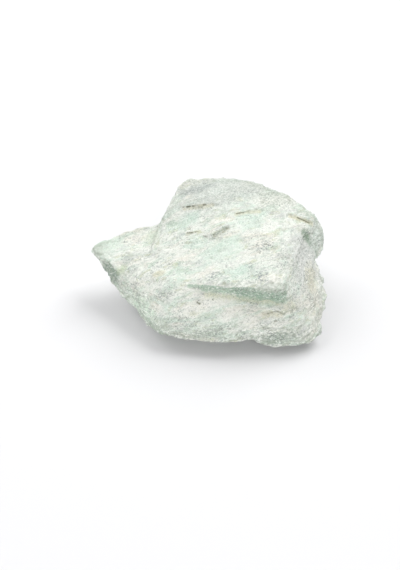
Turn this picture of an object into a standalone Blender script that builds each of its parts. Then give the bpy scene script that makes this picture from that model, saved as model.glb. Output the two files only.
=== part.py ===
"""Raw fuchsite: one hand-sized piece of pale green mica schist, broken along its cleavage.

The stone grew as one piece, so it is one solid. Its mass is a stack of blocks that never parted:
a lower slab with the flat resting spot, an upper block that juts over it in a ledge, a thin spur
to the left, a blunt shoulder at the right rear and a low foot at the right front. The blocks are
fused, weathered round at their edges, and then given the relief of schist: swells, layers that
stand out on the broken faces, scarps where a layer ends, grooves, pits and a knob.

Frame: X to the right, Y away from the front, Z up, in metres. The origin is on the surface that
the stone rests on, under the middle of its outline.
"""

import bmesh
import bpy
import numpy as np
from mathutils import Vector, noise

MM = 0.001

# Corners of the broken blocks, in millimetres. Each block is the convex hull of its corners.
LOWER_SLAB = {
    "resting spot": [(-9, -9, -1), (4, -14, -1), (20, -13, -1), (26, -4, -1)],
    "resting spot, rear": [(21, 8, -1), (4, 12, -1), (-9, 8, -1), (-13, 0, -1)],
    "left edge": [(-27.5, -6.5, 5), (-23.5, -12.5, 4.5), (-19.5, -18.5, 4)],
    "front edge": [(-15.5, -23.5, 4.5), (-11, -24.5, 4.5), (-1, -28, 4.5), (4.5, -28, 4.5), (12, -26.5, 4)],
    "front, rolling over": [(-15, -23.5, 7), (-10.5, -25, 7), (-2.5, -26.5, 7), (4.5, -27, 7), (12, -26, 7)],
    "terrace, outer left": [(-13.5, -22, 10.5), (-4, -24, 10.5), (8.5, -24.5, 10.5)],
    "terrace, outer right": [(18, -24, 11), (25, -23.5, 11.5)],
    "terrace, inner": [(-6, -16, 17), (3, -16, 16.5), (14, -17, 15.5), (24, -19, 15.5), (28.5, -18, 14.5)],
    "right front": [(31.5, -19.5, 11), (33.5, -22, 7.5), (36, -18.5, 7), (34, -11, 13)],
    "right edge": [(37, -2, 12), (38.5, -6, 10), (39, -10, 8), (38.5, -14, 6), (36.5, -17, 5)],
    "rear edge": [(36, 12, 10), (24, 24, 9), (3, 29.5, 10), (-17, 22, 9), (-27, 9, 8)],
    "top": [(-19, 1, 17), (-20, 10, 17), (-10, 22, 18), (20, 23, 18), (33, 8, 17)],
}
UPPER_BLOCK = {
    "ledge lip": [(-6, -16, 17.5), (1, -17, 19), (11, -20, 20), (18, -20.5, 20.5), (22.5, -21, 20)],
    "ledge foot": [(-5, -14, 16), (8, -16, 15), (23, -18, 14.5)],
    "end face, ridge": [(24, -14.5, 22), (26, -5, 24), (28.5, 0, 25), (31, 2, 25.5), (34, 6, 26)],
    "end face, foot": [(36, 1, 13.5), (36.5, -3, 13), (34, -10, 13), (28.5, -17.5, 14.5), (24, -19.5, 15.5)],
    "crease across the top": [(-3, 20, 29), (6, 15, 29.5), (14, 13, 30), (24, 11.5, 30)],
    "rear rim, right": [(36, 11, 26.5), (33, 13, 28), (30, 14.5, 29.5), (27, 18, 30.5)],
    "rear rim": [(19, 23.5, 31.5), (12, 27.5, 31), (-1, 29, 30.5), (-7, 29, 30)],
    "left rim": [(-10.5, 26, 28.5), (-12, 22, 27), (-13.5, 18, 25.5), (-15.5, 15, 23.5)],
    "left side": [(-19, 1, 18.5), (-18.5, 7, 20), (-14, -9, 17.5)],
    "rear foot": [(-12, 25, 12), (14, 28.5, 12), (29, 19, 12)],
}
SPUR = {
    "shelf, rear edge": [(-18, 15, 20.5), (-24, 14, 19.5), (-29.5, 11, 18.5), (-36.5, 8.5, 17.5)],
    "tip": [(-40, 7.5, 16.5), (-39.5, 8, 13.5), (-38, 7.5, 11.5)],
    "shelf, front edge": [(-37, 5.5, 16), (-33.5, 1, 15.5), (-30, -2.5, 14.5), (-28, -5.5, 13)],
    "shelf, front corner": [(-27, -8, 11)],
    "flank foot": [(-35.5, 6, 10), (-32.5, 4, 8), (-30, 0.5, 6.5), (-29.5, -2.5, 5.5), (-28, -7, 5.5)],
    "root": [(-12, 14, 6), (-12, -4, 6), (-12, 15, 20), (-12, 0, 17.5), (-22, 15, 12)],
}
FRONT_LEFT = {
    "top": [(-20, 1, 18.5), (-26, 0, 16.5), (-18, -9, 17), (-10, -13, 18), (-6, -16, 17.5)],
    "shoulder": [(-29, -4, 14), (-22, -11, 13.5), (-14.5, -18, 13.5), (-10, -18.5, 14.5)],
    "side": [(-27, -7, 9), (-23.5, -12.5, 8), (-19, -18, 7), (-14.5, -22.5, 8), (-10, -23, 10)],
    "inside": [(-12, 0, 6), (-10, -12, 6), (-22, -2, 6)],
}
SHOULDER = {
    "rim": [(36, 11, 26.5), (38, 9, 24.5), (31, 14, 28.5)],
    "outer edge": [(39, 7.5, 22), (39, 6, 20), (39, 4.5, 17.5), (37.5, 2.5, 15), (36.5, 1.5, 13.5)],
    "crease with the end face": [(33.5, 4, 23.5), (34, 2.5, 20), (35, 1.5, 17)],
    "rear": [(37, 15, 19), (31, 20, 14), (20, 16, 12), (24, 4, 14), (22, 10, 25)],
}
FOOT = {
    "front": [(14.5, -26.5, 3.5), (17, -27, 2.5), (21.5, -27.5, 2), (28, -27, 2), (33.5, -25.5, 2.5)],
    "right": [(35, -23.5, 3), (36.5, -21.5, 3.5), (36.5, -19.5, 4.5)],
    "rolling over": [(16, -26.5, 6), (27.5, -26, 7), (33.5, -23, 6.5)],
    "under the terrace": [(12, -25, 9), (18, -24, 11), (25, -23.5, 11.5), (31.5, -19.5, 11), (35, -17, 8)],
    "root": [(14, -14, 1), (25, -10, 1), (32, -12, 1), (12, -12, 9)],
}

# The layers of the schist dip a little to the left and towards the front.
LAYER_UP = np.array((-0.21, -0.28, 0.94))
LAYER_STRIKE = np.array((0.97, 0.1, 0.25))

# The skin's grid before thinning, in millimetres, and the triangles that are kept.
GRID = 0.6
TRIANGLES = 8000
# Weathering: how often the skin is smoothed, and how far it is taken in, in millimetres.
WEATHERING_PASSES = 1
WORN_OFF = 0.2

# Relief in millimetres: how far it reaches along, across and through the layers, and its height.
# Each has its own number of ever finer octaves, and its own place in the noise.
SWELLS = {"reach": (17, 13, 9), "height": 0.45, "octaves": 2, "place": 3.7}
LAYERS = {"reach": (9, 5, 2.4), "height": 0.6, "octaves": 3, "place": 11.3}
LUMPS = {"reach": (4.5, 3.5, 3), "height": 0.4, "octaves": 2, "place": 23.1}
# Layers and lumps stand out on the broken faces, and keep this share of it on the cleavage faces.
ON_CLEAVAGE = 0.35
# The end face is a joint, which the rock split along, and keeps this share of its roughness. A
# place belongs to it as its normal nears the joint's (a cosine), and as it rises to these heights:
# not at all at the first value, fully at the second.
JOINT_FACES = np.array((0.88, -0.03, 0.47))
ON_JOINT = 0.25
JOINT_COSINES = (0.65, 0.85)
JOINT_HEIGHTS = (12, 16)
# How fast the finer octaves fade, and how much finer each one is.
OCTAVE_FADE = 0.8
OCTAVE_STEP = 2.0

# Scarps, where a layer ends along a line: the line's two ends (X, Y) and the height of the step.
SCARPS = [
    ((-7.5, 15.5), (1.5, 15), 0.55),
    ((9.5, 9.5), (17.5, 10.5), 0.3),
    ((-1, 2), (2, 1.5), 0.5),
    ((2, 1.5), (6, 4), 1.0),
    ((28.5, 8.5), (34, 7), 0.5),
    ((-7, 4.5), (-3, 4.5), 0.35),
    ((18.5, -22), (24, -22.5), 0.45),
]
# How far back the raised layer runs out, how far in front the hollow does, and the hollow's share.
LAYER_BEHIND = 5
HOLLOW_BEFORE = 1.5
HOLLOW_SHARE = 0.5
# Grooves: the two ends and the depth.
GROOVES = [
    ((-28, 0), (-18, -1), 0.6),
    ((-18, 14), (-18, 4), 0.5),
]
GROOVE_WIDTH = 1.6
# Scarps and grooves fade out this far past their ends. They wander this much, once in that far.
LINE_FADE = 1.2
WANDER = 0.9
WANDER_REACH = 4
# The seed of the wandering, so that it is the same in each run.
WANDER_SEED = 1795633792
# Pits and knobs: the middle, the radius, and the height, which is below zero for a pit.
PITS_AND_KNOBS = [
    ((32.5, -2.5, 20), 7.5, -1.6),
    ((32, 1.5, 24), 2.6, -1.8),
    ((-3, -19.5, 14.5), 1.6, -0.7),
    ((5, -17, 19.5), 1.3, -0.6),
    ((-10.5, 10, 24), 3.0, -0.5),
    ((36, 0.5, 15), 2.5, -0.8),
    ((19.5, -16, 21.5), 4.5, 0.7),
    ((-24, -11, 9), 3.5, -0.6),
    ((30, -24, 6), 4.0, 0.5),
]


def block(name, corners):
    """One convex block: the hull of its named corners."""
    mesh = bmesh.new()
    for group in corners.values():
        for corner in group:
            mesh.verts.new(Vector(corner) * MM)
    hull = bmesh.ops.convex_hull(mesh, input=mesh.verts)
    spare = set(hull["geom_interior"] + hull["geom_unused"]) & set(mesh.verts)
    bmesh.ops.delete(mesh, geom=sorted(spare, key=lambda corner: corner.index), context="VERTS")
    data = bpy.data.meshes.new(name)
    mesh.to_mesh(data)
    mesh.free()
    return bpy.data.objects.new(name, data)


def apply_modifiers(stone):
    """Gives the stone the mesh that its modifiers make of it."""
    bpy.context.view_layer.update()
    graph = bpy.context.evaluated_depsgraph_get()
    stone.data = bpy.data.meshes.new_from_object(stone.evaluated_get(graph))
    stone.modifiers.clear()


def fuse(stone, others):
    """Joins the blocks and gives the whole stone one even skin."""
    for other in others:
        bpy.context.scene.collection.objects.link(other)
        join = stone.modifiers.new(other.name, "BOOLEAN")
        join.operation = "UNION"
        join.solver = "EXACT"
        join.object = other
    skin = stone.modifiers.new("even skin", "REMESH")
    skin.mode = "VOXEL"
    skin.voxel_size = GRID * MM
    skin.adaptivity = 0
    apply_modifiers(stone)
    for other in others:
        bpy.data.objects.remove(other)


def weather(stone):
    """Rounds the edges where the blocks meet."""
    mesh = bmesh.new()
    mesh.from_mesh(stone.data)
    for _ in range(WEATHERING_PASSES):
        bmesh.ops.smooth_vert(
            mesh, verts=mesh.verts, factor=0.5, use_axis_x=True, use_axis_y=True, use_axis_z=True
        )
    mesh.to_mesh(stone.data)
    mesh.free()


def layered_noise(points, relief):
    """Noise as high as the relief says, drawn out along the layers of the schist."""
    across = np.cross(LAYER_UP, LAYER_STRIKE)
    in_layers = points @ np.array((LAYER_STRIKE, across, LAYER_UP)).T / relief["reach"] + relief["place"]
    values = [noise.fractal(place, OCTAVE_FADE, OCTAVE_STEP, relief["octaves"]) for place in in_layers]
    return relief["height"] * np.array(values)


def wandering(points):
    """The points moved a little, so that a line measured from them wanders."""
    noise.seed_set(WANDER_SEED)
    return points + WANDER * np.array([noise.noise_vector(place) for place in points / WANDER_REACH])


def beside_line(points, start, end):
    """How fully each point lies beside the line (1, and 0 past its ends), and how far behind it."""
    start, end = np.array(start), np.array(end)
    length = np.linalg.norm(end - start)
    direction = (end - start) / length
    offset = points[:, :2] - start
    travel = offset @ direction
    past_the_ends = np.maximum(np.maximum(-travel, travel - length), 0)
    behind = offset @ np.array((-direction[1], direction[0]))
    return np.exp(-((past_the_ends / LINE_FADE) ** 2)), behind


def scarp(points, start, end, height):
    """A step: the layer behind the line stands up, and the one before it is hollowed a little."""
    beside, behind = beside_line(points, start, end)
    raised = np.exp(-np.maximum(behind, 0) / LAYER_BEHIND) * (behind > 0)
    hollowed = HOLLOW_SHARE * np.exp(np.minimum(behind, 0) / HOLLOW_BEFORE) * (behind <= 0)
    return height * beside * (raised - hollowed)


def groove(points, start, end, depth):
    """A shallow valley along a line."""
    beside, behind = beside_line(points, start, end)
    return -depth * beside * np.exp(-((behind / GROOVE_WIDTH) ** 2))


def pit_or_knob(points, middle, radius, height):
    """A round hollow or bump."""
    distance = np.linalg.norm(points - np.array(middle), axis=1)
    return height * np.exp(-2 * (distance / radius) ** 2)


def carve_relief(stone):
    """Moves the skin in and out along its normals, and the scarps and grooves along the layers' normal."""
    points = np.array([vertex.co for vertex in stone.data.vertices]) / MM
    normals = np.array([vertex.normal for vertex in stone.data.vertices])
    facing_up = np.clip(normals @ LAYER_UP, 0, 1)
    broken = 1 - np.abs(normals @ LAYER_UP)
    out = layered_noise(points, SWELLS) - WORN_OFF
    rough = layered_noise(points, LAYERS) + layered_noise(points, LUMPS)
    on_joint = np.interp(normals @ JOINT_FACES, JOINT_COSINES, (0, 1))
    on_joint *= np.interp(points[:, 2], JOINT_HEIGHTS, (0, 1))
    out += rough * (ON_CLEAVAGE + broken) * (1 - (1 - ON_JOINT) * on_joint)
    for middle, radius, height in PITS_AND_KNOBS:
        out += pit_or_knob(points, middle, radius, height)
    up = np.zeros(len(points))
    wandered = wandering(points)
    for start, end, height in SCARPS:
        up += scarp(wandered, start, end, height)
    for start, end, depth in GROOVES:
        up += groove(wandered, start, end, depth)
    points += normals * out[:, None] + np.outer(up * facing_up, LAYER_UP)
    stone.data.vertices.foreach_set("co", (points * MM).ravel())


def thin_out(stone):
    """Keeps the faces where the skin bends and drops them where it is flat."""
    fewer = stone.modifiers.new("fewer faces", "DECIMATE")
    fewer.ratio = TRIANGLES / (2 * len(stone.data.polygons))
    apply_modifiers(stone)


def flatten_resting_spot(stone):
    """Cuts the stone off flat at Z = 0, and moves it over the origin."""
    mesh = bmesh.new()
    mesh.from_mesh(stone.data)
    cut = bmesh.ops.bisect_plane(
        mesh,
        geom=mesh.verts[:] + mesh.edges[:] + mesh.faces[:],
        plane_co=(0, 0, 0),
        plane_no=(0, 0, 1),
        clear_inner=True,
    )
    rim = [item for item in cut["geom_cut"] if isinstance(item, bmesh.types.BMEdge)]
    bmesh.ops.edgeloop_fill(mesh, edges=rim)
    bmesh.ops.recalc_face_normals(mesh, faces=mesh.faces)
    places = np.array([vertex.co for vertex in mesh.verts])
    middle = (places.min(axis=0) + places.max(axis=0)) / 2
    bmesh.ops.translate(mesh, verts=mesh.verts, vec=(-middle[0], -middle[1], 0))
    mesh.to_mesh(stone.data)
    mesh.free()


def fuchsite_material():
    """Pale green mica schist: dull, with a faint sheen from the mica."""
    material = bpy.data.materials.new("fuchsite schist")
    material.use_nodes = True
    shader = material.node_tree.nodes["Principled BSDF"]
    shader.inputs["Base Color"].default_value = (0.62, 0.70, 0.60, 1)
    shader.inputs["Roughness"].default_value = 0.75
    shader.inputs["Metallic"].default_value = 0
    return material


for old in list(bpy.data.objects):
    bpy.data.objects.remove(old)

fuchsite = block("fuchsite", LOWER_SLAB)
bpy.context.scene.collection.objects.link(fuchsite)
fuse(
    fuchsite,
    [
        block("upper block", UPPER_BLOCK),
        block("spur", SPUR),
        block("front left", FRONT_LEFT),
        block("shoulder", SHOULDER),
        block("foot", FOOT),
    ],
)
weather(fuchsite)
carve_relief(fuchsite)
thin_out(fuchsite)
flatten_resting_spot(fuchsite)
fuchsite.data.shade_smooth()
fuchsite.data.materials.append(fuchsite_material())
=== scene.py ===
import math

import bmesh
import bpy
import numpy as np
from mathutils import Matrix, Vector, noise


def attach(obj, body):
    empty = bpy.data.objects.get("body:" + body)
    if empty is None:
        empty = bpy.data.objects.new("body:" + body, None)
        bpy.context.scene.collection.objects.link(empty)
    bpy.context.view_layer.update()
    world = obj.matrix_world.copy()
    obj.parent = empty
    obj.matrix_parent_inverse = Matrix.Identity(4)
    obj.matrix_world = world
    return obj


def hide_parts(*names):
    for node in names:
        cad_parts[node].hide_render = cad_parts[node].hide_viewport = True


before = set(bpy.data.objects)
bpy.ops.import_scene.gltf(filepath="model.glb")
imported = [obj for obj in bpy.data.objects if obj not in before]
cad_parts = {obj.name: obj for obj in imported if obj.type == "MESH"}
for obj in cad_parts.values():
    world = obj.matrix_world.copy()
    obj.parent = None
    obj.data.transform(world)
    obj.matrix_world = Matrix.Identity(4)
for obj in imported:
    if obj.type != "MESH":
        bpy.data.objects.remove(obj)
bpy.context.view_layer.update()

# The stone is one broken piece of pale green mica schist: sugary white quartz with thin layers of
# green fuchsite mica, stained ochre along its cracks. It grew and broke as one rock, so it is one
# piece, and it lies loose on its flat spot.

MM = 0.001

# The layers dip a little to the left and towards the front. These are the direction up through
# them and the one that they are drawn out along.
UP = Vector((-0.1, -0.28, 0.95)).normalized()
STRIKE = Vector((0.99, 0.03, 0.11)).normalized()
# The streaks run this far turned from it.
STREAKS_TURN = math.radians(14)
ALONG = Matrix.Rotation(STREAKS_TURN, 3, UP) @ STRIKE
ACROSS = UP.cross(ALONG).normalized()
LAYER_AXES = np.array((ALONG, ACROSS, UP))

# The skin's grid, how often it is smoothed, and how near corners are that become one, in
# millimetres.
SKIN_GRID = 0.37
SKIN_SMOOTHING = 1
WELD = 0.001


def evaluate(body):
    """Gives the body the mesh that its modifiers make of it."""
    bpy.context.view_layer.update()
    graph = bpy.context.evaluated_depsgraph_get()
    body.data = bpy.data.meshes.new_from_object(body.evaluated_get(graph))
    body.modifiers.clear()


def fine_body(solid):
    """The solid's shape under a skin fine enough to carry the grain."""
    mesh = bmesh.new()
    mesh.from_mesh(solid.data)
    bmesh.ops.remove_doubles(mesh, verts=mesh.verts, dist=WELD * MM)
    data = bpy.data.meshes.new("fuchsite_stone")
    mesh.to_mesh(data)
    mesh.free()
    body = bpy.data.objects.new("fuchsite_stone", data)
    bpy.context.scene.collection.objects.link(body)
    skin = body.modifiers.new("fine skin", "REMESH")
    skin.mode = "VOXEL"
    skin.voxel_size = SKIN_GRID * MM
    rounding = body.modifiers.new("rounded facets", "SMOOTH")
    rounding.iterations = SKIN_SMOOTHING
    evaluate(body)
    return body


# Relief of the skin, in millimetres: how far one bump reaches along, across and through the
# layers, how high it stands, and its place in the noise. The thin layers, their ledges and the
# crumbs stand out on the broken faces. Flakes lie on the cleavage faces. The grain is everywhere.
THIN_LAYERS = {"reach": (3.5, 2.6, 0.9), "height": 0.25, "octaves": 2, "place": 5.2}
LEDGES = {"reach": (7.0, 5.0, 3.0), "height": 0.3, "octaves": 2, "place": 47.3}
# How thick the layers are that end in ledges, and how far they wander, in their own thicknesses.
LEDGE_THICKNESS = 1.4
LEDGE_WANDER = 1.6
CRUMBS = {"reach": (2.6, 2.0, 1.3), "height": 0.55, "place": 61.9}
GRAIN = {"reach": (1.1, 0.8, 0.6), "height": 0.12, "octaves": 2, "place": 31.7}
FLAKES = {"reach": (5.5, 3.2, 4.0), "height": 0.14, "place": 17.9}
# What each part of a flake's middle adds to the turn that sets the flake's height.
FLAKE_TURNS = (40, 70, 90)
# Flakes come in as a face turns to the cleavage, between these two cosines. The relief of the
# broken faces keeps this share on the cleavage faces.
CLEAVAGE_COSINES = (0.7, 0.95)
ON_CLEAVAGE = 0.3
# How fast the finer octaves fade, and how much finer each one is.
OCTAVE_FADE = 0.8
OCTAVE_STEP = 2.0
# The layers swirl a little: how far they are pushed aside, and over which distance.
SWIRL = 1.5
SWIRL_REACH = 7.0
# Cracks and hollows have ragged edges: how far these stray, and over which distance.
RAGGED = 0.35
RAGGED_REACH = 0.9
# The seed of the swirls and the ragged edges, so that they are the same in each run.
NOISE_SEED = 1
noise.seed_set(NOISE_SEED)

# Cracks, where a layer ends and the next one shows under it: points along each, in millimetres,
# then its width and depth.
CRACKS = [
    ([(-8.2, 15.1, 26.6), (-6.9, 14.8, 26.9), (-4.9, 14.9, 27.2), (-2.5, 14.6, 27.5),
      (-0.5, 14.5, 28)], 0.26, 0.3),
    ([(11.7, 9, 28.4), (13.4, 9.4, 28.7), (15, 9.3, 28.8), (16.6, 9.7, 29)], 0.24, 0.15),
    ([(-1.4, 1.9, 24.1), (-0.2, 1, 24.4), (1.1, 0.4, 24.7), (2.4, 0.6, 25.2)], 0.22, 0.15),
    ([(2.4, 0.6, 25.2), (3.4, 1.5, 25.7), (4.3, 2.5, 26.2), (5.3, 2.8, 26.5),
      (6.6, 3.5, 26.3)], 0.32, 0.4),
    ([(29.6, 7.2, 27.7), (31, 6.7, 27.2), (32.2, 6, 26.7), (33.4, 5.9, 26.5)], 0.24, 0.2),
    ([(-6.8, 4.2, 23.6), (-4.8, 4, 23.9), (-3, 4.2, 24.3)], 0.2, 0.12),
    ([(18.6, -23.2, 12.2), (20.1, -23.1, 13), (21.5, -23, 13.2), (23.8, -23.5, 12.1)], 0.26, 0.25),
    ([(17, -26.3, 7.8), (19.4, -25.6, 8.5), (22.4, -25.8, 8.3)], 0.26, 0.25),
]
# Small hollows, which the finish darkens with painted shade: the middle, the radius and the depth.
HOLLOWS = [
    ((4.8, -17, 19.6), 0.5, 0.35),
    ((-3, -19.8, 13.8), 0.5, 0.35),
    ((18.3, -4.5, 25.5), 0.7, 0.3),
    ((16, -7.7, 24.6), 0.6, 0.3),
]


def swirled(points):
    """The points pushed aside a little, as the layers are."""
    return points + SWIRL * np.array([noise.noise_vector(place) for place in points / SWIRL_REACH])


def in_layers(points, relief):
    """Places in the noise: the points measured along the layers' axes, in the relief's reaches."""
    return points @ LAYER_AXES.T / relief["reach"] + relief["place"]


def bumps(points, relief):
    """Soft bumps of about -1 to 1."""
    places = in_layers(points, relief)
    octaves = relief["octaves"]
    return np.array([noise.fractal(place, OCTAVE_FADE, OCTAVE_STEP, octaves) for place in places])


def flakes(points, relief):
    """Flat flakes with a step between them, from 0 to 1."""
    middles = [noise.voronoi(place)[1][0] for place in in_layers(points, relief)]
    turns = [sum(turn * part for turn, part in zip(FLAKE_TURNS, middle)) for middle in middles]
    return np.array([0.5 + 0.5 * math.sin(turn) for turn in turns])


def crumbs(points, relief):
    """Round crumbs with sharp valleys between them, from about -0.5 to 0.5."""
    places = in_layers(points, relief)
    return 0.5 - np.array([noise.voronoi(place)[0][0] for place in places])


def ledges(points, relief):
    """Broken layers: each one slopes back, and ends in a sharp step. From -0.5 to 0.5."""
    count = points @ LAYER_AXES[2] / LEDGE_THICKNESS + LEDGE_WANDER * bumps(points, relief)
    return count - np.floor(count) - 0.5


def ramp(values, low, high):
    """0 below low and 1 above high, with a soft change between."""
    share = np.clip((values - low) / (high - low), 0, 1)
    return share * share * (3 - 2 * share)


def distance_to_path(points, path):
    """How far each point is from the nearest place on the path."""
    nearest = np.full(len(points), np.inf)
    for start, end in zip(np.array(path[:-1], float), np.array(path[1:], float)):
        run = end - start
        share = np.clip((points - start) @ run / (run @ run), 0, 1)
        nearest = np.minimum(nearest, np.linalg.norm(points - start - share[:, None] * run, axis=1))
    return nearest


def keep(body, name, values):
    """Stores one number per point, for the finish to read."""
    stored = body.data.attributes.new(name, "FLOAT", "POINT")
    stored.data.foreach_set("value", values.astype(np.float32))


# How often the skin is evened out, to find what lies below the skin around it, near and far.
NEAR_PASSES = 12
FAR_PASSES = 80


def below_even_skin(body, passes):
    """How far each point lies below the evened skin, in millimetres."""
    points = np.array([vertex.co for vertex in body.data.vertices]) / MM
    ends = np.array([edge.vertices for edge in body.data.edges])
    ends = np.concatenate((ends, ends[:, ::-1]))
    neighbours = np.bincount(ends[:, 0], minlength=len(points))
    even = points.copy()
    for _ in range(passes):
        sums = [np.bincount(ends[:, 0], even[ends[:, 1], axis], len(points)) for axis in range(3)]
        even = np.array(sums).T / neighbours[:, None]
    normals = np.array([vertex.normal for vertex in body.data.vertices])
    return ((even - points) * normals).sum(axis=1)


def carve(body):
    """Cuts the fine relief into the skin. Keeps where it is hollow and which way it was turned."""
    points = np.array([vertex.co for vertex in body.data.vertices]) / MM
    normals = np.array([vertex.normal for vertex in body.data.vertices])
    cleavage = np.abs(normals @ LAYER_AXES[2])
    broken = ON_CLEAVAGE + 1 - cleavage
    places = swirled(points)
    out = THIN_LAYERS["height"] * bumps(places, THIN_LAYERS) * broken
    out += LEDGES["height"] * ledges(places, LEDGES) * broken
    out += CRUMBS["height"] * crumbs(places, CRUMBS) * broken
    out += GRAIN["height"] * bumps(places, GRAIN)
    out += FLAKES["height"] * flakes(places, FLAKES) * ramp(cleavage, *CLEAVAGE_COSINES)
    depth = np.zeros(len(points))
    strays = [noise.noise_vector(place) for place in points / RAGGED_REACH]
    ragged = points + RAGGED * np.array(strays)
    for path, width, deep in CRACKS:
        near = np.exp(-((distance_to_path(ragged, path) / width) ** 2))
        depth = np.maximum(depth, near * deep)
    for middle, radius, deep in HOLLOWS:
        near = np.exp(-((np.linalg.norm(ragged - middle, axis=1) / radius) ** 2))
        depth = np.maximum(depth, near * deep)
    carved = points + normals * (out - depth)[:, None]
    carved[:, 2] = np.maximum(carved[:, 2], 0)
    body.data.vertices.foreach_set("co", (carved * MM).ravel())
    body.data.update()
    keep(body, "hollow", below_even_skin(body, NEAR_PASSES))
    keep(body, "valley", below_even_skin(body, FAR_PASSES))
    turned = body.data.attributes.new("face", "FLOAT_VECTOR", "POINT")
    turned.data.foreach_set("vector", normals.astype(np.float32).ravel())


stone = fine_body(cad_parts["fuchsite"])
carve(stone)
stone.data.shade_smooth()


# The finish is built from a few shader groups, each placed many times with its own values.


def add(tree, kind, inputs, **settings):
    """A node of this kind with these settings. Each input takes a value or another node's output."""
    made = tree.nodes.new(kind)
    for setting, value in settings.items():
        setattr(made, setting, value)
    for name, value in inputs.items():
        if isinstance(value, bpy.types.NodeSocket):
            tree.links.new(value, made.inputs[name])
        else:
            made.inputs[name].default_value = value
    return made


def maths(tree, operation, *values):
    """One sum on numbers."""
    return add(tree, "ShaderNodeMath", dict(enumerate(values)), operation=operation).outputs[0]


def scaled_by(tree, vector, factor):
    """The vector times the factor."""
    inputs = {0: vector, "Scale": factor}
    return add(tree, "ShaderNodeVectorMath", inputs, operation="SCALE").outputs[0]


def vector_maths(tree, operation, *values):
    """One sum on vectors. A dot product or a length gives a number."""
    made = add(tree, "ShaderNodeVectorMath", dict(enumerate(values)), operation=operation)
    return made.outputs["Value"] if operation in ("DOT_PRODUCT", "LENGTH") else made.outputs["Vector"]


def start_group(name, inputs):
    """A new group with these inputs, their first values, and one output named Mask."""
    group = bpy.data.node_groups.new(name, "ShaderNodeTree")
    for label, value in inputs.items():
        kind = "NodeSocketVector" if isinstance(value, tuple) else "NodeSocketFloat"
        socket = group.interface.new_socket(name=label, in_out="INPUT", socket_type=kind)
        socket.default_value = value
    group.interface.new_socket(name="Mask", in_out="OUTPUT", socket_type="NodeSocketFloat")
    return group, group.nodes.new("NodeGroupInput").outputs


def end_group(group, mask):
    """The finished group, which gives this mask."""
    group.links.new(mask, group.nodes.new("NodeGroupOutput").inputs["Mask"])
    return group


def place_in_millimetres(tree):
    """Where on the stone the colour is asked for."""
    position = add(tree, "ShaderNodeTexCoord", {}).outputs["Object"]
    return scaled_by(tree, position, 1 / MM)


def along_layers(tree, offset):
    """A vector's parts along, across and through the layers."""
    parts = [vector_maths(tree, "DOT_PRODUCT", offset, tuple(axis)) for axis in (ALONG, ACROSS, UP)]
    return add(tree, "ShaderNodeCombineXYZ", dict(enumerate(parts))).outputs[0]


def fade(tree, value, low, high, strength=1.0):
    """From 0 at low to the strength at high."""
    inputs = {"Value": value, "From Min": low, "From Max": high, "To Max": strength}
    return add(tree, "ShaderNodeMapRange", inputs, interpolation_type="SMOOTHSTEP").outputs["Result"]


# How far the streaks are pushed aside along, across and through the layers, in millimetres, and
# how rough their noise is.
STREAK_SWIRL = (3.0, 3.0, 1.5)
STREAK_ROUGHNESS = 0.6


def streaks_group():
    """Streaks drawn out along the layers, which swirl a little: of a mineral, or of painted light and
    shade.
    """
    start = {
        "Reach": (5.0, 3.0, 1.0),
        "Place": 0.0,
        "Detail": 2.0,
        "Patchy": 0.0,
        "From": 0.5,
        "To": 0.6,
        "Strength": 1.0,
    }
    group, given = start_group("streaks along the layers", start)
    layered = along_layers(group, place_in_millimetres(group))
    inputs = {"Vector": layered, "Scale": 1 / SWIRL_REACH, "Detail": 1.0}
    swirl = add(group, "ShaderNodeTexNoise", inputs).outputs["Color"]
    off_centre = vector_maths(group, "SUBTRACT", swirl, (0.5, 0.5, 0.5))
    pushed = vector_maths(group, "MULTIPLY_ADD", off_centre, STREAK_SWIRL, layered)
    scaled = vector_maths(group, "DIVIDE", pushed, given["Reach"])
    placed = vector_maths(group, "ADD", scaled, given["Place"])
    inputs = {"Vector": placed, "Scale": 1.0, "Detail": given["Detail"], "Roughness": STREAK_ROUGHNESS}
    cloud = add(group, "ShaderNodeTexNoise", inputs).outputs["Fac"]
    patches = add(group, "ShaderNodeSeparateXYZ", {0: off_centre}).outputs["Z"]
    cloud = maths(group, "MULTIPLY_ADD", patches, given["Patchy"], cloud)
    return end_group(group, fade(group, cloud, given["From"], given["To"], given["Strength"]))


# The noise that makes edges ragged: how often it repeats in a millimetre, round a stain and along
# a seam, and how fine and rough it is.
STAIN_RAGGED_SCALE = 0.45
SEAM_RAGGED_SCALE = 0.9
RAGGED_DETAIL = 4.0
RAGGED_ROUGHNESS = 0.65
# A stain or seam is gone at this distance, in its own reaches. It fades in as a face turns its way,
# between these two cosines.
GONE_AT = 1.15
FACING_COSINES = (0.5, 0.62)


def ragged_edge(group, distance, raggedness, scale):
    """Adds noise to a distance, so that what fades out with it has a ragged edge."""
    inputs = {"Vector": place_in_millimetres(group), "Scale": scale}
    inputs |= {"Detail": RAGGED_DETAIL, "Roughness": RAGGED_ROUGHNESS}
    cloud = add(group, "ShaderNodeTexNoise", inputs).outputs["Fac"]
    off_centre = maths(group, "SUBTRACT", cloud, 0.5)
    return maths(group, "MULTIPLY_ADD", off_centre, raggedness, distance)


def spread(group, given, distance):
    """Full in the middle, gone further out, and only on the faces that are turned its way."""
    face = add(group, "ShaderNodeAttribute", {}, attribute_name="face").outputs["Vector"]
    turned = vector_maths(group, "DOT_PRODUCT", face, given["Faces"])
    every_face = maths(group, "LESS_THAN", vector_maths(group, "LENGTH", given["Faces"]), 0.5)
    on_face = maths(group, "MAXIMUM", fade(group, turned, *FACING_COSINES), every_face)
    near = fade(group, distance, GONE_AT, given["Full"], given["Strength"])
    return maths(group, "MULTIPLY", near, on_face)


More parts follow.
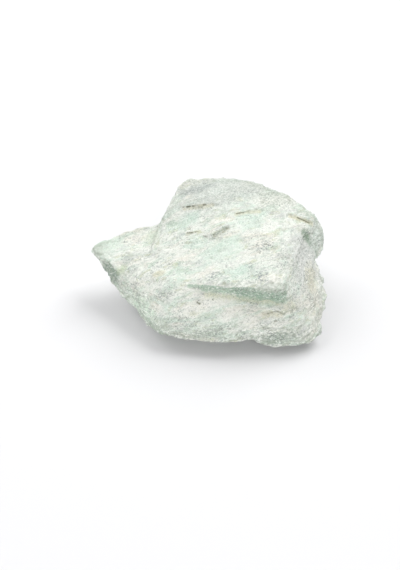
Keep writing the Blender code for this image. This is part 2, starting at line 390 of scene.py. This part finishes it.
def stain_or_shade_group():
    """A stain or painted shade round a middle, with a ragged edge, on the faces turned its way."""
    start = {
        "Middle": (0.0, 0.0, 0.0),
        "Reach": (3.0, 3.0, 3.0),
        "Faces": (0.0, 0.0, 0.0),
        "Ragged": 1.5,
        "Full": 0.35,
        "Strength": 1.0,
    }
    group, given = start_group("ragged stain or painted shade", start)
    offset = vector_maths(group, "SUBTRACT", place_in_millimetres(group), given["Middle"])
    scaled = vector_maths(group, "DIVIDE", along_layers(group, offset), given["Reach"])
    length = vector_maths(group, "LENGTH", scaled)
    distance = ragged_edge(group, length, given["Ragged"], STAIN_RAGGED_SCALE)
    return end_group(group, spread(group, given, distance))


def seam_or_shade_group():
    """A coloured seam or line of painted shade between two points, on the faces turned its way."""
    start = {
        "Start": (0.0, 0.0, 0.0),
        "End": (1.0, 0.0, 0.0),
        "Faces": (0.0, 0.0, 0.0),
        "Width": 1.0,
        "Ragged": 1.2,
        "Full": 0.3,
        "Strength": 1.0,
    }
    group, given = start_group("seam", start)
    run = vector_maths(group, "SUBTRACT", given["End"], given["Start"])
    offset = vector_maths(group, "SUBTRACT", place_in_millimetres(group), given["Start"])
    travel = vector_maths(group, "DOT_PRODUCT", offset, run)
    length_squared = vector_maths(group, "DOT_PRODUCT", run, run)
    inputs = {0: travel, 1: length_squared}
    share = add(group, "ShaderNodeMath", inputs, operation="DIVIDE", use_clamp=True).outputs[0]
    on_line = scaled_by(group, run, share)
    aside = vector_maths(group, "LENGTH", vector_maths(group, "SUBTRACT", offset, on_line))
    in_widths = maths(group, "DIVIDE", aside, given["Width"])
    distance = ragged_edge(group, in_widths, given["Ragged"], SEAM_RAGGED_SCALE)
    return end_group(group, spread(group, given, distance))


STREAKS = streaks_group()
STAIN_OR_PAINTED_SHADE = stain_or_shade_group()
SEAM_OR_PAINTED_SHADE = seam_or_shade_group()

# What the rock is made of: the colour, how far a streak reaches, its place in the noise, between
# which values of the noise it fades in, how strongly, and how much more of it some patches hold.
QUARTZ = (0.70, 0.722, 0.665)
TINTS = [
    ("cream", (0.69, 0.645, 0.565), (14, 5, 2.4), 3.1, 0.48, 0.68, 0.55, 0),
    ("mint", (0.515, 0.635, 0.545), (13, 4.5, 2.0), 11.7, 0.47, 0.66, 0.7, 0),
    ("sage", (0.43, 0.53, 0.43), (7, 2.5, 1.0), 23.3, 0.53, 0.72, 0.7, 0),
    ("grey", (0.43, 0.44, 0.435), (9, 3, 1.3), 37.9, 0.54, 0.74, 0.6, 0),
    ("olive", (0.49, 0.515, 0.35), (4.5, 1.8, 0.9), 43.1, 0.55, 0.72, 0.65, 0),
]
# Wisps: the same, in finer patterns. Grains are finer still, and show on the stains as well.
WISPS = [
    ("grey wisps", (0.34, 0.365, 0.345), (1.9, 0.7, 0.35), 71.3, 0.53, 0.69, 0.55, 0.15),
    ("white wisps", (0.84, 0.85, 0.80), (1.7, 0.65, 0.33), 83.9, 0.53, 0.67, 0.5, -0.1),
    ("mint wisps", (0.50, 0.61, 0.52), (2.4, 0.9, 0.45), 19.9, 0.54, 0.68, 0.25, 0),
]
GRAINS = [
    ("grey grains", (0.27, 0.295, 0.28), (0.52, 0.38, 0.24), 91.7, 0.53, 0.67, 0.5, 0.15),
    ("white grains", (0.88, 0.89, 0.85), (0.5, 0.36, 0.24), 57.1, 0.52, 0.65, 0.4, -0.1),
    ("dark specks", (0.08, 0.105, 0.095), (0.7, 0.42, 0.3), 29.3, 0.63, 0.71, 0.75, 0.2),
]
# On the broken faces, painted highlights on the crumbs and painted shade in the gaps between them.
CRUMB_LIGHT_AND_SHADE = [
    ("gaps", (0.24, 0.265, 0.245), (1.2, 0.85, 0.5), 12.9, 0.53, 0.67, 0.65, 0.1),
    ("crumbs, painted highlight", (0.90, 0.905, 0.87), (0.95, 0.7, 0.45), 66.1, 0.53, 0.66, 0.6, 0),
    ("small gaps, painted shade", (0.18, 0.20, 0.18), (0.6, 0.5, 0.35), 77.3, 0.55, 0.66, 0.6, 0.1),
]
# Stains, and patches of painted shade where marked: the colour, the middle, how far it reaches
# along, across and through the layers, in millimetres, how strongly, and which way the faces that
# carry it are turned.
EVERY = (0.0, 0.0, 0.0)
RIGHT = (0.92, -0.05, 0.38)
FRONT = (-0.1, -0.99, -0.1)
LEFT = (-0.75, -0.6, -0.28)
STAINS_AND_PAINTED_SHADE = [
    ("grey rear of the top", (0.50, 0.53, 0.495), (6, 21, 30), (24, 12, 5), 0.7, EVERY),
    ("grey rear, right", (0.56, 0.575, 0.51), (22, 15, 30.2), (10, 6, 4), 0.5, EVERY),
    ("grey end face", (0.60, 0.615, 0.59), (31, -4, 19), (9, 16, 10), 0.85, RIGHT),
    ("green shoulder", (0.57, 0.635, 0.575), (37, 5, 20), (6, 8, 8), 0.8, RIGHT),
    ("mint on the top", (0.53, 0.65, 0.565), (4.4, -5, 23.4), (10, 6, 5), 0.55, EVERY),
    ("mint on the top, right", (0.50, 0.64, 0.545), (14.3, 4.7, 27.6), (6, 4, 4), 0.5, EVERY),
    ("mint on the top, left", (0.49, 0.63, 0.54), (-8, 9, 24.5), (8, 3.5, 4), 0.5, EVERY),
    ("mint at the lip", (0.50, 0.65, 0.56), (10.2, -13.3, 21.8), (4, 3, 3), 0.45, EVERY),
    ("mint on the spur", (0.53, 0.65, 0.565), (-35, 5.2, 17), (8, 5, 4), 0.55, EVERY),
    ("green on the spur", (0.57, 0.65, 0.52), (-18.2, 8, 19.6), (4, 5, 3), 0.5, EVERY),
    # Painted shade: grey laid along the crease where the spur meets the block.
    ("painted shade in the valley", (0.48, 0.50, 0.49), (-26, -0.3, 17), (6, 1.8, 3), 0.4, EVERY),
    # The spur's flank, turned down and to the left, is its own dark green with painted shade on it.
    ("dark spur flank", (0.17, 0.245, 0.185), (-32.5, -2, 12), (9, 6, 5), 0.95, LEFT),
    ("yellow-green on the flank", (0.44, 0.52, 0.34), (-28.2, -3.8, 14.5), (2.5, 2.5, 2), 0.6, EVERY),
    ("green lower left", (0.48, 0.60, 0.49), (-26.5, -10, 6.5), (7, 7, 4), 0.4, EVERY),
    ("green front, low", (0.40, 0.49, 0.40), (-15, -22.5, 6.5), (9, 5, 4), 0.5, EVERY),
    ("green front, middle", (0.42, 0.50, 0.41), (0, -26.4, 7.4), (9, 3, 2), 0.45, EVERY),
    ("green foot", (0.32, 0.385, 0.32), (22, -27.2, 5), (9, 3, 2.2), 0.75, EVERY),
    ("pale green, left side", (0.64, 0.77, 0.63), (-21, -15, 8), (8, 8, 4.5), 0.65, EVERY),
    ("green edge, lower left", (0.28, 0.365, 0.285), (-16, -21.5, 4.8), (8, 7, 1.8), 0.65, EVERY),
    ("pale terrace", (0.78, 0.78, 0.72), (2, -20, 14.5), (17, 3, 2.5), 0.6, EVERY),
    ("pale front, left", (0.78, 0.775, 0.72), (5.7, -23.7, 11.5), (3.5, 3, 1.4), 0.75, EVERY),
    ("pale front, right", (0.78, 0.775, 0.72), (12.4, -24.7, 11), (4, 3, 1.6), 0.75, EVERY),
    ("pale above the foot", (0.76, 0.76, 0.70), (21.6, -25.4, 9.2), (4, 3, 1), 0.6, EVERY),
    ("ochre at the notch", (0.56, 0.53, 0.34), (33.5, -8.5, 14.4), (5, 7, 4), 0.5, EVERY),
    ("brown lower right", (0.67, 0.65, 0.58), (33, -16, 10), (9, 9, 6), 0.4, EVERY),
    ("ochre above the foot", (0.54, 0.52, 0.38), (25.5, -21.5, 13.6), (4, 3, 2.5), 0.5, EVERY),
    ("ochre spot", (0.55, 0.53, 0.36), (-16, -9.4, 17.1), (3, 1.6, 2), 0.6, EVERY),
    ("dark patch", (0.36, 0.46, 0.37), (-11.8, 9.9, 23.4), (3, 1.6, 2), 0.7, EVERY),
    ("dark grey rear, left", (0.33, 0.36, 0.345), (-4, 22, 29), (8, 2.2, 3), 0.6, EVERY),
    ("white end of the ledge", (0.80, 0.81, 0.77), (20.5, -18.5, 21), (3, 3, 2.5), 0.4, EVERY),
    # The cavity at the right is its own green, darkened further with painted shade.
    ("cavity, green with painted shade", (0.22, 0.29, 0.21), (32, 3, 23.9), (1.8, 3.4, 2.6), 0.85, EVERY),
]
# Patches of dark grains: the colour, the middle, the reach and how strongly, like the stains.
SPECKLED = [
    ("grains at the rear of the top", (0.25, 0.30, 0.26), (11, 20, 30), (24, 8, 5), 0.5),
    ("dark grains at the rear, left", (0.20, 0.24, 0.22), (-4, 22, 29), (8, 2.5, 3), 0.5),
    ("grains at the rear, right", (0.28, 0.32, 0.27), (24, 14, 30), (11, 6, 4), 0.6),
    ("specks on the top", (0.16, 0.19, 0.18), (18, -5, 25), (3.5, 3, 2), 0.8),
    ("blue-grey specks, right", (0.17, 0.205, 0.22), (16.9, -16.5, 21.7), (2.6, 3, 2), 0.85),
    ("blue-grey specks, middle", (0.17, 0.205, 0.22), (13.5, -11.9, 22.4), (2, 2, 2), 0.7),
    ("blue-grey specks, left", (0.17, 0.21, 0.21), (2, -14, 20.2), (4, 2, 2), 0.7),
    ("grey specks on the terrace", (0.20, 0.22, 0.22), (-14, -16.6, 14.6), (6, 2.5, 2), 0.7),
    ("specks in the valley", (0.20, 0.22, 0.21), (-23, -1, 17), (8, 1.6, 3), 0.5),
    ("specks on the front", (0.17, 0.20, 0.17), (3, -26, 8), (14, 3, 2), 0.6),
    ("specks on the foot", (0.15, 0.19, 0.15), (21, -27, 5.5), (9, 3, 2.5), 0.7),
    ("brown grains, lower right", (0.32, 0.30, 0.25), (33, -16, 10), (9, 9, 6), 0.4),
]
# Seams, and lines of painted shade where marked: the colour, the two ends, the width, how ragged,
# how far of the width it is full, how strongly, and which way the faces that carry it are turned.
SEAMS_AND_PAINTED_SHADE = [
    ("under the ledge", (0.58, 0.60, 0.44),
     (0, -18.5, 15.9), (21.5, -20.6, 14.7), 1.5, 2.6, 0.1, 0.7, EVERY),
    # The ledge's face under the lip is its own dark green mica, with painted shade under the overhang.
    ("ledge face, left end", (0.30, 0.41, 0.31),
     (-6, -16, 17.5), (-1, -16.9, 17.8), 0.9, 1.0, 0.3, 0.8, EVERY),
    ("ledge face, left", (0.31, 0.43, 0.325),
     (-1, -16.4, 18.2), (9.9, -18.7, 18), 2.2, 1.5, 0.5, 0.9, FRONT),
    ("ledge face, right", (0.28, 0.395, 0.30),
     (9.9, -18.7, 18), (22.2, -20.7, 17.2), 3.0, 1.3, 0.6, 0.95, FRONT),
    ("shoulder's edge, high", (0.24, 0.33, 0.24),
     (31.5, 2.2, 25), (33.7, 1.4, 21.6), 1.3, 2.0, 0.1, 0.85, EVERY),
    ("shoulder's edge, low", (0.35, 0.43, 0.35),
     (33.7, 1.4, 21.6), (36.1, 1.9, 16.7), 1.0, 2.2, 0.1, 0.65, EVERY),
    ("ochre by crack 1", (0.58, 0.55, 0.38),
     (-8, 14.2, 26.8), (1.5, 13.9, 28.2), 1.1, 2.2, 0.1, 0.6, EVERY),
    ("ochre by crack 2", (0.58, 0.55, 0.38),
     (9.4, 8.6, 28.3), (17, 9, 29), 1.1, 2.2, 0.1, 0.5, EVERY),
    ("olive by crack 3", (0.34, 0.345, 0.17),
     (2.2, 0.5, 25.1), (6.6, 3.2, 26.4), 0.85, 1.3, 0.3, 0.9, EVERY),
    ("ochre by crack 4", (0.58, 0.54, 0.36),
     (27.4, 7.4, 28), (34.2, 6, 26.4), 1.3, 2.2, 0.1, 0.65, EVERY),
    ("ochre by crack 5", (0.54, 0.56, 0.38),
     (-7, 3.7, 23.8), (-2.5, 4, 24.4), 0.8, 2.2, 0.1, 0.55, EVERY),
    ("ochre by crack 6", (0.57, 0.54, 0.38),
     (17.5, -23.4, 12.3), (23, -23.8, 12.2), 1.4, 2.2, 0.1, 0.5, EVERY),
]
# Painted shade in the cracks and hollows, and a dark speck: the two ends, the width, how strongly.
SHADE_IN_CRACKS_AND_HOLLOWS = [
    ("crack 1, left", (-8.2, 15.1, 26.6), (-4.9, 14.9, 27.2), 0.34, 0.8),
    ("crack 1, right", (-4.9, 14.9, 27.2), (-0.5, 14.5, 28), 0.36, 0.75),
    ("crack 2, left", (9.6, 8.8, 28.2), (13.4, 9.4, 28.7), 0.3, 0.6),
    ("crack 2, right", (13.4, 9.4, 28.7), (16.6, 9.7, 29), 0.34, 0.75),
    ("crack 3, left", (-1.4, 1.9, 24.1), (1.1, 0.4, 24.7), 0.28, 0.6),
    ("crack 3, middle", (1.1, 0.4, 24.7), (3.4, 1.5, 25.7), 0.4, 0.9),
    ("crack 3, right", (3.4, 1.5, 25.7), (6.4, 3.4, 26.3), 0.48, 0.85),
    ("crack 4", (29.6, 7.2, 27.7), (33.4, 5.9, 26.5), 0.36, 0.75),
    ("crack 5", (-6.8, 4.1, 23.6), (-3, 4.1, 24.3), 0.3, 0.6),
    ("crack 6, left", (18.6, -23.2, 12.2), (21.2, -23.1, 13.2), 0.36, 0.6),
    ("crack 6, right", (21.2, -23.1, 13.2), (23.8, -23.5, 12.1), 0.36, 0.6),
    ("crack 7", (17.2, -26.2, 8.2), (20.2, -25.5, 8.5), 0.3, 0.4),
    ("speck on the front", (20.7, -24.8, 10.5), (21.5, -24.8, 10.4), 0.36, 0.8),
    ("shaded hollow at the lip", (4.5, -17, 19.7), (5.3, -17.1, 19.5), 0.42, 0.95),
    ("shaded hollow on the terrace", (-3.4, -19.5, 13.7), (-2.6, -19.9, 13.4), 0.36, 0.85),
    ("shaded hollow on the top", (18.1, -4.4, 25.5), (18.8, -4.5, 25.5), 0.4, 0.7),
    ("shaded hollow below it", (15.8, -7.6, 24.5), (16.5, -7.7, 24.5), 0.35, 0.7),
]
# How ragged they are, and how far of the width they are full.
CRACK_RAGGED = 0.9
CRACK_FULL = 0.2
CRACK_SHADE = (0.10, 0.10, 0.055)
# Low places are shaded: between which depths in millimetres, and how strongly. A share of a wide
# valley's depth is taken off a gap's, so that only small gaps are shaded dark.
VALLEY_SHADE = (0.40, 0.455, 0.375)
VALLEY_FADE = (0.1, 0.9, 0.2)
GAP_SHADE = (0.30, 0.335, 0.27)
GAP_FADE = (0.01, 0.2, 0.6)
VALLEY_SHARE = 0.35
# Crumbs come in as a face turns off the cleavage, between these two cosines.
BROKEN_COSINES = (0.9, 0.6)
# Three more patterns of streaks: what the patches of dark grains are made of, glints of mica, and
# the sugary grain that roughens the surface.
SPECKS = {"Reach": (0.75, 0.5, 0.35), "Place": 63.7, "From": 0.48, "To": 0.58}
GLINTS = {"Reach": (0.7, 0.6, 0.3), "Place": 7.7, "From": 0.6, "To": 0.7}
SUGAR = {"Reach": (0.5, 0.45, 0.35), "Place": 51.1, "From": 0.3, "To": 0.7}
# The rock is dull, and its glints are smoother by this much.
DULL = 0.8
GLINT_SMOOTHER = 0.35
SHINE = 0.35
# The sugary grain's height in millimetres, and how much of it shows.
SUGAR_HEIGHT = 0.08
SUGAR_SHARE = 0.6


def mixed(tree, mask, under, over):
    """The colour over, laid on the colour under where the mask says."""
    made = add(tree, "ShaderNodeMix", {}, data_type="RGBA")
    colours = [socket for socket in made.inputs if socket.type == "RGBA"]
    tree.links.new(mask, made.inputs["Factor"])
    for socket, colour in zip(colours, (under, over)):
        if isinstance(colour, bpy.types.NodeSocket):
            tree.links.new(colour, socket)
        else:
            socket.default_value = (*colour, 1)
    return next(socket for socket in made.outputs if socket.type == "RGBA")


def placed_group(tree, group, label, inputs):
    """One use of a group, and its mask."""
    made = add(tree, "ShaderNodeGroup", {}, node_tree=group, label=label)
    for name, value in inputs.items():
        made.inputs[name].default_value = value
    return made.outputs["Mask"]


def stored(tree, name):
    """A number that the skin keeps for each of its points."""
    return add(tree, "ShaderNodeAttribute", {}, attribute_name=name).outputs["Fac"]


def streaks_over(tree, colour, rows, within=None):
    """The colour with each row's streaks laid on it, kept within another mask where one is given."""
    for name, tint, reach, place, low, high, strength, patchy in rows:
        inputs = {"Reach": reach, "Place": place, "From": low, "To": high, "Strength": strength}
        inputs["Patchy"] = patchy
        mask = placed_group(tree, STREAKS, name, inputs)
        if within is not None:
            mask = maths(tree, "MULTIPLY", mask, within)
        colour = mixed(tree, mask, colour, tint)
    return colour


def schist_colour(tree):
    """Quartz, tinted in streaks, stained, grained, and with painted light and shade in its gaps and
    cracks.
    """
    colour = streaks_over(tree, QUARTZ, TINTS + WISPS)
    colour = mixed(tree, fade(tree, stored(tree, "valley"), *VALLEY_FADE), colour, VALLEY_SHADE)
    for name, tint, middle, reach, strength, faces in STAINS_AND_PAINTED_SHADE:
        inputs = {"Middle": middle, "Reach": reach, "Strength": strength, "Faces": faces}
        colour = mixed(tree, placed_group(tree, STAIN_OR_PAINTED_SHADE, name, inputs), colour, tint)
    for name, tint, start, end, width, ragged, full, strength, faces in SEAMS_AND_PAINTED_SHADE:
        inputs = {"Start": start, "End": end, "Width": width, "Ragged": ragged, "Full": full}
        inputs |= {"Strength": strength, "Faces": faces}
        colour = mixed(tree, placed_group(tree, SEAM_OR_PAINTED_SHADE, name, inputs), colour, tint)
    specks = placed_group(tree, STREAKS, "specks", SPECKS)
    for name, tint, middle, reach, strength in SPECKLED:
        inputs = {"Middle": middle, "Reach": reach, "Strength": strength}
        mask = placed_group(tree, STAIN_OR_PAINTED_SHADE, name, inputs)
        colour = mixed(tree, maths(tree, "MULTIPLY", mask, specks), colour, tint)
    colour = streaks_over(tree, colour, GRAINS)
    face = add(tree, "ShaderNodeAttribute", {}, attribute_name="face").outputs["Vector"]
    broken = fade(tree, vector_maths(tree, "DOT_PRODUCT", face, tuple(UP)), *BROKEN_COSINES)
    # Painted highlights on the crumbs and painted shade in the gaps, on the broken faces only.
    colour = streaks_over(tree, colour, CRUMB_LIGHT_AND_SHADE, broken)
    gap = maths(tree, "MULTIPLY_ADD", stored(tree, "valley"), -VALLEY_SHARE, stored(tree, "hollow"))
    colour = mixed(tree, fade(tree, gap, *GAP_FADE), colour, GAP_SHADE)
    # Painted shade in the bottoms of the cracks and in the small hollows.
    for name, start, end, width, strength in SHADE_IN_CRACKS_AND_HOLLOWS:
        inputs = {"Start": start, "End": end, "Width": width, "Strength": strength}
        inputs |= {"Ragged": CRACK_RAGGED, "Full": CRACK_FULL}
        colour = mixed(tree, placed_group(tree, SEAM_OR_PAINTED_SHADE, name, inputs), colour, CRACK_SHADE)
    return colour


def schist_finish():
    """The stone's material: dull and sugary, with glints of mica."""
    material = bpy.data.materials.new("fuchsite schist, raw")
    material.use_nodes = True
    tree = material.node_tree
    shader = tree.nodes["Principled BSDF"]
    tree.links.new(schist_colour(tree), shader.inputs["Base Color"])
    glints = placed_group(tree, STREAKS, "mica glints", GLINTS)
    roughness = maths(tree, "SUBTRACT", DULL, fade(tree, glints, 0, 1, GLINT_SMOOTHER))
    tree.links.new(roughness, shader.inputs["Roughness"])
    grain = placed_group(tree, STREAKS, "sugary grain", SUGAR)
    inputs = {"Strength": SUGAR_SHARE, "Distance": SUGAR_HEIGHT * MM, "Height": grain}
    bump = add(tree, "ShaderNodeBump", inputs)
    tree.links.new(bump.outputs["Normal"], shader.inputs["Normal"])
    shader.inputs["Specular IOR Level"].default_value = SHINE
    return material


stone.data.materials.clear()
stone.data.materials.append(schist_finish())
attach(stone, "root")
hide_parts("fuchsite")

# The floor is a plain white card, cut round and laid flat under the stone. It catches the shadow,
# and isn't part of the object. Its reach is in metres.
FLOOR_REACH = 0.75
FLOOR_CORNERS = 96
FLOOR_WHITE = (0.72, 0.72, 0.73)
FLOOR_ROUGHNESS = 0.9
FLOOR_SHINE = 0.2

turns = [math.tau * corner / FLOOR_CORNERS for corner in range(FLOOR_CORNERS)]
rim = [(FLOOR_REACH * math.cos(turn), FLOOR_REACH * math.sin(turn), 0) for turn in turns]
card = bpy.data.meshes.new("floor")
card.from_pydata(rim, [], [tuple(range(FLOOR_CORNERS))])
floor = bpy.data.objects.new("floor", card)
bpy.context.scene.collection.objects.link(floor)
white_card = bpy.data.materials.new("white card")
white_card.use_nodes = True
paper = white_card.node_tree.nodes["Principled BSDF"]
paper.inputs["Base Color"].default_value = (*FLOOR_WHITE, 1)
paper.inputs["Roughness"].default_value = FLOOR_ROUGHNESS
paper.inputs["Specular IOR Level"].default_value = FLOOR_SHINE
floor.data.materials.append(white_card)

# Soft studio light: a white room that lights the stone a little, four large soft boxes behind it
# and to its left, and a low one in front of it. The camera sees the room at full white.
ROUND_LIGHT = 0.2
world = bpy.data.worlds.new("white room")
world.use_nodes = True
room = world.node_tree.nodes["Background"]
room.inputs["Color"].default_value = (1, 1, 1, 1)
seen = world.node_tree.nodes.new("ShaderNodeLightPath").outputs["Is Camera Ray"]
strength = maths(world.node_tree, "MAXIMUM", seen, ROUND_LIGHT)
world.node_tree.links.new(strength, room.inputs["Strength"])
bpy.context.scene.world = world

# The soft boxes' width, and how far they stand from the stone, in metres.
BOX_SIZE = 0.6
BOX_DISTANCE = 0.8


def soft_box(name, around, height, power):
    """A square light that faces the stone: degrees around from the front, and up, and its watts."""
    data = bpy.data.lights.new(name, "AREA")
    data.shape = "SQUARE"
    data.size = BOX_SIZE
    data.energy = power
    light = bpy.data.objects.new(name, data)
    around, height = math.radians(around), math.radians(height)
    level = math.cos(height)
    towards = Vector((math.sin(around) * level, -math.cos(around) * level, math.sin(height)))
    light.location = towards * BOX_DISTANCE
    light.rotation_euler = towards.to_track_quat("Z", "Y").to_euler()
    bpy.context.scene.collection.objects.link(light)


soft_box("behind, right", 135, 45, 6.3)
soft_box("behind, left", 225, 45, 2.5)
soft_box("behind", 180, 35, 0.8)
soft_box("left", 270, 35, 1.8)
soft_box("front, low", 0, 20, 4.7)

# The camera stands in front of the stone and looks down on it at 38.8 degrees. Its place, lens,
# sensor and the nearest that it sees are in millimetres.
CAMERA_PLACE = (-2.50, -210.08, 173.89)
CAMERA_TILT = 38.8
LENS = 50.0
SENSOR_WIDTH = 36.0
NEAREST_SEEN = 10

camera = bpy.data.objects.new("camera", bpy.data.cameras.new("camera"))
camera.location = [part * MM for part in CAMERA_PLACE]
camera.rotation_euler = (math.radians(90 - CAMERA_TILT), 0, 0)
camera.data.lens = LENS
camera.data.sensor_width = SENSOR_WIDTH
camera.data.clip_start = NEAREST_SEEN * MM
bpy.context.scene.collection.objects.link(camera)
bpy.context.scene.camera = camera
bpy.context.scene.view_settings.view_transform = "Standard"
